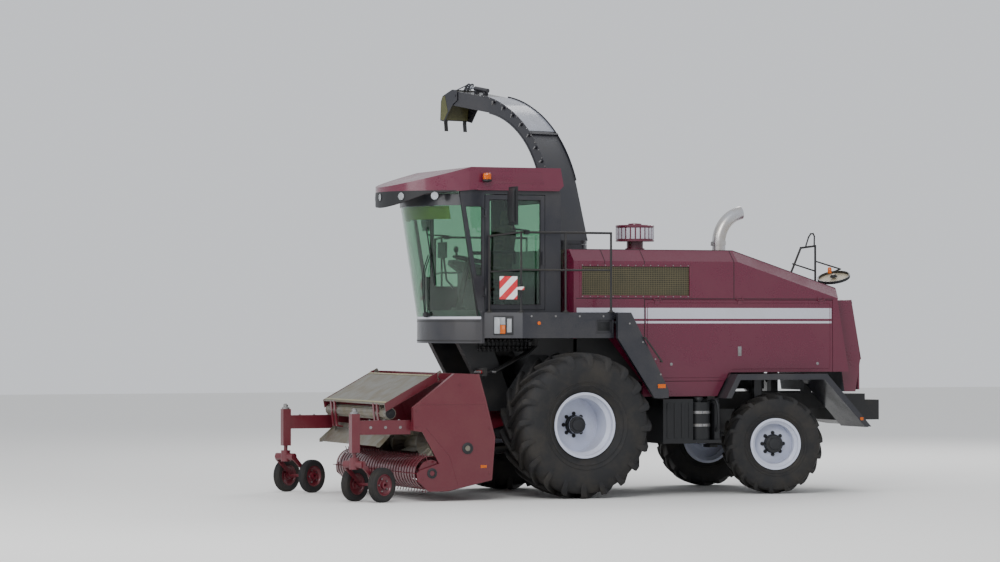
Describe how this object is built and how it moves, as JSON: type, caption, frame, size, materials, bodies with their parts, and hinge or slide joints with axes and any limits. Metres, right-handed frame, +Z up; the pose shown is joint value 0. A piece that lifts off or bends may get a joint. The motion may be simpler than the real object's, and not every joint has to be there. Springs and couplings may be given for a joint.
{
  "type": "forage harvester",
  "caption": "Self-propelled forage harvester with a pick-up header on caster wheels, a glazed cab, a louvred engine hood and a curved spout turned to its right side.",
  "frame": {"origin": "on the ground under the middle of the machine's box", "axes": "+X forwards, towards the pick-up header; +Y to the machine's left; +Z up"},
  "size_m": [7.6902, 3.7928, 5.3053],
  "materials": {
    "frame_paint": "satin black paint with dust",
    "dark_paint": "semi-gloss dark grey paint",
    "burgundy": "gloss burgundy paint",
    "header_red": "satin dark red paint with crop dust",
    "rim_grey": "satin white-grey paint",
    "tyre": "matt black tyre rubber",
    "glass": "green tinted glass",
    "steel_worn": "worn steel polished by the crop",
    "cast_grey": "grey painted castings",
    "chrome": "hard chrome rods",
    "exhaust_steel": "bright aluminised steel",
    "screen_mesh": "olive mesh with dust",
    "grille_grey": "grey moulded grille",
    "black_plastic": "black moulded plastic",
    "lamp_lens": "orange and clear lenses",
    "board": "reflective board with red and white stripes",
    "mirror_face": "convex mirror with a dusty face",
    "hose": "black hydraulic hose",
    "seat_fabric": "dark woven seat cloth"
  },
  "bodies": {
    "chassis": {"main_frame": "frame_paint", "drive_axle": "frame_paint", "rear_axle": "frame_paint", "platform": "dark_paint", "front_fenders": "dark_paint", "rear_fenders": "dark_paint", "tanks": "black_plastic", "counterweight": "frame_paint", "cab_shell": "dark_paint", "cab_roof": "burgundy", "cab_glass": "glass", "operator_seat": "seat_fabric", "steering_column": "black_plastic", "lamps": "lamp_lens", "mirrors": "black_plastic", "warning_boards": "board", "handrails": "frame_paint", "hood_shell": "burgundy", "intake_screens": "screen_mesh", "rear_grille": "grille_grey", "rear_mirror": "mirror_face", "hydraulic_hoses": "hose", "engine_block": "cast_grey", "air_cleaner": "burgundy", "exhaust_pipe": "exhaust_steel", "chopper_housing": "cast_grey", "spout_turret": "dark_paint"},
    "drive_wheel_left": {"drive_rim_left": "rim_grey", "drive_tyre_left": "tyre"},
    "drive_wheel_right": {"drive_rim_right": "rim_grey", "drive_tyre_right": "tyre"},
    "knuckle_left": {"knuckle_left": "cast_grey"},
    "knuckle_right": {"knuckle_right": "cast_grey"},
    "steer_wheel_left": {"steer_rim_left": "rim_grey", "steer_tyre_left": "tyre"},
    "steer_wheel_right": {"steer_rim_right": "rim_grey", "steer_tyre_right": "tyre"},
    "steering_rod": {"steering_rod": "chrome"},
    "cab_door": {"cab_door": "dark_paint", "door_glass": "glass"},
    "side_door_left": {"side_door_left": "burgundy"},
    "side_door_right": {"side_door_right": "burgundy"},
    "spout": {"spout_chute": "dark_paint"},
    "flap": {"deflector_flap": "dark_paint"},
    "flap_rod": {"flap_rod": "chrome"},
    "header": {"feeder_house": "header_red", "header_frame": "header_red", "stripper_bands": "header_red"},
    "lift_barrels": {"lift_barrels": "frame_paint"},
    "lift_rods": {"lift_rods": "chrome"},
    "wind_guard": {"wind_guard": "steel_worn"},
    "auger": {"auger": "steel_worn"},
    "pickup_reel": {"pickup_reel": "header_red"},
    "caster_left": {"caster_left": "header_red"},
    "caster_right": {"caster_right": "header_red"},
    "caster_wheels_left": {"caster_wheels_left": "tyre"},
    "caster_wheels_right": {"caster_wheels_right": "tyre"}
  },
  "joints": [
    {"name": "drive_spin_left", "type": "hinge", "parent": "chassis", "child": "drive_wheel_left", "pos_m": [0.805, 1.48139, 0.9], "axis": [0, 1, 0], "continuous": true},
    {"name": "drive_spin_right", "type": "hinge", "parent": "chassis", "child": "drive_wheel_right", "pos_m": [0.805, -0.91861, 0.9], "axis": [0, 1, 0], "continuous": true},
    {"name": "steer_left", "type": "hinge", "parent": "chassis", "child": "knuckle_left", "pos_m": [-1.995, 1.14139, 0.63], "axis": [0, 0, 1], "range_deg": [-23, 47]},
    {"name": "steer_right", "type": "hinge", "parent": "chassis", "child": "knuckle_right", "pos_m": [-1.995, -0.57861, 0.63], "axis": [0, 0, 1], "range_deg": [-24, 48]},
    {"name": "steering_rod_slide", "type": "slide", "parent": "chassis", "child": "steering_rod", "axis": [0, 1, 0], "range_m": [-0.117, 0.0575]},
    {"name": "steer_spin_left", "type": "hinge", "parent": "knuckle_left", "child": "steer_wheel_left", "pos_m": [-1.94094, 1.39571, 0.63], "axis": [0.2079, 0.9781, 0], "continuous": true},
    {"name": "steer_spin_right", "type": "hinge", "parent": "knuckle_right", "child": "steer_wheel_right", "pos_m": [-2.04906, -0.83293, 0.63], "axis": [0.2079, 0.9781, 0], "continuous": true},
    {"name": "spout_turn", "type": "hinge", "parent": "chassis", "child": "spout", "pos_m": [0.445, 0.28139, 3.16], "axis": [0, 0, 1], "range_deg": [-28, 172]},
    {"name": "flap_tilt", "type": "hinge", "parent": "spout", "child": "flap", "pos_m": [1.036, -1.53753, 5.13325], "axis": [0.9511, 0.309, 0], "range_deg": [-25, 35]},
    {"name": "cab_door_swing", "type": "hinge", "parent": "chassis", "child": "cab_door", "pos_m": [1.879, 1.19539, 3], "axis": [0, 0, -1], "range_deg": [0, 30]},
    {"name": "side_door_left_lift", "type": "hinge", "parent": "chassis", "child": "side_door_left", "pos_m": [-1.495, 1.39089, 2.447], "axis": [1, 0, 0], "range_deg": [0, 75]},
    {"name": "side_door_right_lift", "type": "hinge", "parent": "chassis", "child": "side_door_right", "pos_m": [-1.495, -0.82811, 2.447], "axis": [-1, 0, 0], "range_deg": [0, 75]},
    {"name": "header_lift", "type": "hinge", "parent": "chassis", "child": "header", "pos_m": [1.365, 0.28139, 1], "axis": [0, -1, 0], "range_deg": [0, 14]},
    {"name": "lift_barrel_swing", "type": "hinge", "parent": "chassis", "child": "lift_barrels", "pos_m": [0.925, 0.28139, 0.615], "axis": [0, -1, 0], "range_deg": [-0.2, 8.58]},
    {"name": "lift_rod_slide", "type": "slide", "parent": "lift_barrels", "child": "lift_rods", "axis": [0.9955, 0, -0.0946], "range_m": [-0.001, 0.0983]},
    {"name": "wind_guard_tilt", "type": "hinge", "parent": "header", "child": "wind_guard", "pos_m": [2.565, 0.28139, 1.51], "axis": [0, -1, 0], "range_deg": [0, 20]},
    {"name": "auger_spin", "type": "hinge", "parent": "header", "child": "auger", "pos_m": [2.345, 0.28139, 0.64], "axis": [0, 1, 0], "continuous": true},
    {"name": "reel_spin", "type": "hinge", "parent": "header", "child": "pickup_reel", "pos_m": [2.805, 0.28139, 0.345], "axis": [0, 1, 0], "continuous": true},
    {"name": "caster_swivel_left", "type": "hinge", "parent": "header", "child": "caster_left", "pos_m": [3.735, 1.58139, 0.9], "axis": [0, 0, 1], "continuous": true},
    {"name": "caster_spin_left", "type": "hinge", "parent": "caster_left", "child": "caster_wheels_left", "pos_m": [3.51426, 1.46402, 0.21], "axis": [-0.4695, 0.8829, 0], "continuous": true},
    {"name": "caster_swivel_right", "type": "hinge", "parent": "header", "child": "caster_right", "pos_m": [3.735, -1.01861, 0.9], "axis": [0, 0, 1], "continuous": true},
    {"name": "caster_spin_right", "type": "hinge", "parent": "caster_right", "child": "caster_wheels_right", "pos_m": [3.51426, -1.13598, 0.21], "axis": [-0.4695, 0.8829, 0], "continuous": true},
    {"name": "flap_rod_slide", "type": "slide", "parent": "spout", "child": "flap_rod", "axis": [0.3043, -0.9366, 0.1736], "range_m": [-0.0627, 0.0862]}
  ],
  "couplings": [
    {"joint": "steer_right", "follows": "steer_left", "ratio": 1},
    {"joint": "steering_rod_slide", "follows": "steer_left", "m_per_rad": -0.14085},
    {"joint": "lift_barrel_swing", "follows": "header_lift", "ratio": 0.5912},
    {"joint": "lift_rod_slide", "follows": "header_lift", "m_per_rad": 0.39431},
    {"joint": "flap_rod_slide", "follows": "flap_tilt", "m_per_rad": 0.13452}
  ]
}
